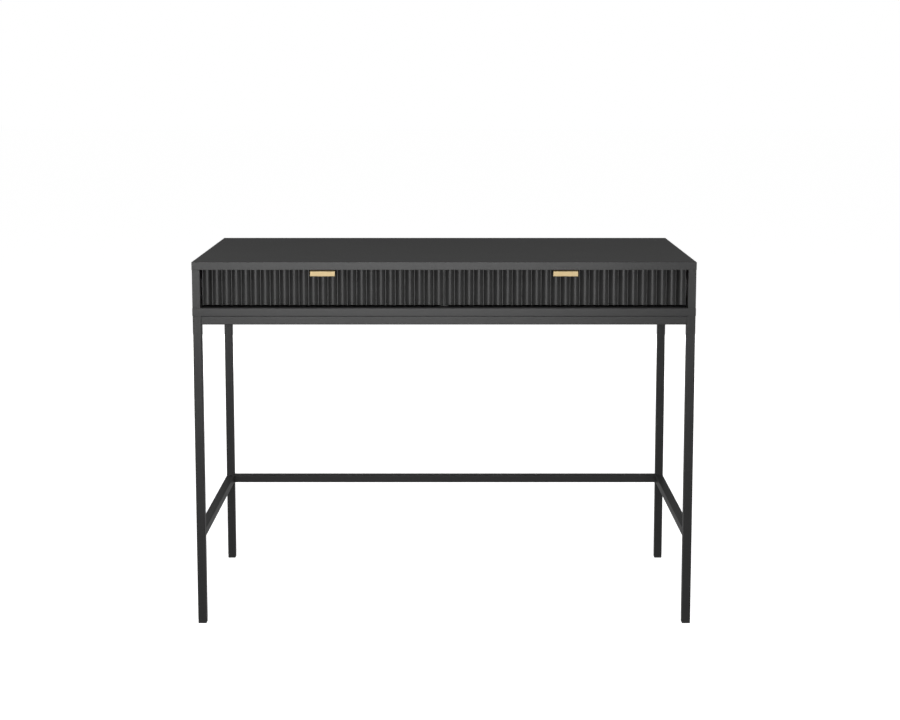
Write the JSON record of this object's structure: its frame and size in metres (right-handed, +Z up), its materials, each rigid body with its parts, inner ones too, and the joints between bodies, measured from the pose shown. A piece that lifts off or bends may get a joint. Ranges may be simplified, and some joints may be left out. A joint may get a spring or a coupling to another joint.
{
  "type": "writing desk",
  "caption": "Slim writing desk: a shallow box of black boards with fluted drawers and small brass edge pulls, on an open frame of square steel tube.",
  "frame": {"origin": "on the floor under the centre of the desktop, at the bottom centre of the bounding box", "axes": "+Z up, +X to the right of a person facing the drawers, -Y the drawers' front"},
  "size_m": [1.04, 0.5, 0.768],
  "materials": {
    "black_laminate": "matt black laminate on particle board, with a fine satin grain",
    "black_powder_coat": "fine-textured matt black powder coat",
    "foot_plastic": "moulded black plastic",
    "black_screw": "blackened steel",
    "fluted_front": "satin black paint on fluted fibreboard",
    "brass": "satin pale brass",
    "drawer_lining": "matt dark laminate on particle board",
    "drawer_bottom": "dark foil-faced hardboard",
    "runner_steel": "zinc-plated sheet steel"
  },
  "bodies": {
    "desk": {"top_panel": "black_laminate", "bottom_panel": "black_laminate", "left_side_panel": "black_laminate", "right_side_panel": "black_laminate", "back_panel": "black_laminate", "centre_divider": "black_laminate", "front_left_leg": "black_powder_coat", "front_right_leg": "black_powder_coat", "rear_left_leg": "black_powder_coat", "rear_right_leg": "black_powder_coat", "front_top_rail": "black_powder_coat", "rear_top_rail": "black_powder_coat", "left_top_rail": "black_powder_coat", "right_top_rail": "black_powder_coat", "left_stretcher": "black_powder_coat", "right_stretcher": "black_powder_coat", "rear_stretcher": "black_powder_coat", "front_left_foot_cap": "foot_plastic", "front_right_foot_cap": "foot_plastic", "rear_left_foot_cap": "foot_plastic", "rear_right_foot_cap": "foot_plastic", "front_left_frame_screw": "black_screw", "front_right_frame_screw": "black_screw", "rear_left_frame_screw": "black_screw", "rear_right_frame_screw": "black_screw", "left_frame_screw": "black_screw", "right_frame_screw": "black_screw", "left_drawer_outer_cabinet_runner": "runner_steel", "left_drawer_inner_cabinet_runner": "runner_steel", "right_drawer_outer_cabinet_runner": "runner_steel", "right_drawer_inner_cabinet_runner": "runner_steel"},
    "left_drawer": {"left_drawer_front": "fluted_front", "left_handle": "brass", "left_handle_left_screw": "brass", "left_handle_right_screw": "brass", "left_drawer_left_side": "drawer_lining", "left_drawer_right_side": "drawer_lining", "left_drawer_box_front": "drawer_lining", "left_drawer_back": "drawer_lining", "left_drawer_bottom": "drawer_bottom", "left_drawer_outer_drawer_runner": "runner_steel", "left_drawer_inner_drawer_runner": "runner_steel"},
    "left_middle_runners": {"left_drawer_outer_middle_runner": "runner_steel", "left_drawer_inner_middle_runner": "runner_steel"},
    "right_drawer": {"right_drawer_front": "fluted_front", "right_handle": "brass", "right_handle_left_screw": "brass", "right_handle_right_screw": "brass", "right_drawer_left_side": "drawer_lining", "right_drawer_right_side": "drawer_lining", "right_drawer_box_front": "drawer_lining", "right_drawer_back": "drawer_lining", "right_drawer_bottom": "drawer_bottom", "right_drawer_outer_drawer_runner": "runner_steel", "right_drawer_inner_drawer_runner": "runner_steel"},
    "right_middle_runners": {"right_drawer_outer_middle_runner": "runner_steel", "right_drawer_inner_middle_runner": "runner_steel"}
  },
  "joints": [
    {"name": "left_drawer_slide", "type": "slide", "parent": "desk", "child": "left_drawer", "axis": [0, -1, 0], "range_m": [0, 0.38]},
    {"name": "left_middle_runner_slide", "type": "slide", "parent": "desk", "child": "left_middle_runners", "axis": [0, -1, 0], "range_m": [0, 0.19]},
    {"name": "right_drawer_slide", "type": "slide", "parent": "desk", "child": "right_drawer", "axis": [0, -1, 0], "range_m": [0, 0.38]},
    {"name": "right_middle_runner_slide", "type": "slide", "parent": "desk", "child": "right_middle_runners", "axis": [0, -1, 0], "range_m": [0, 0.19]}
  ],
  "couplings": [
    {"joint": "left_middle_runner_slide", "follows": "left_drawer_slide", "ratio": 0.5},
    {"joint": "right_middle_runner_slide", "follows": "right_drawer_slide", "ratio": 0.5}
  ]
}
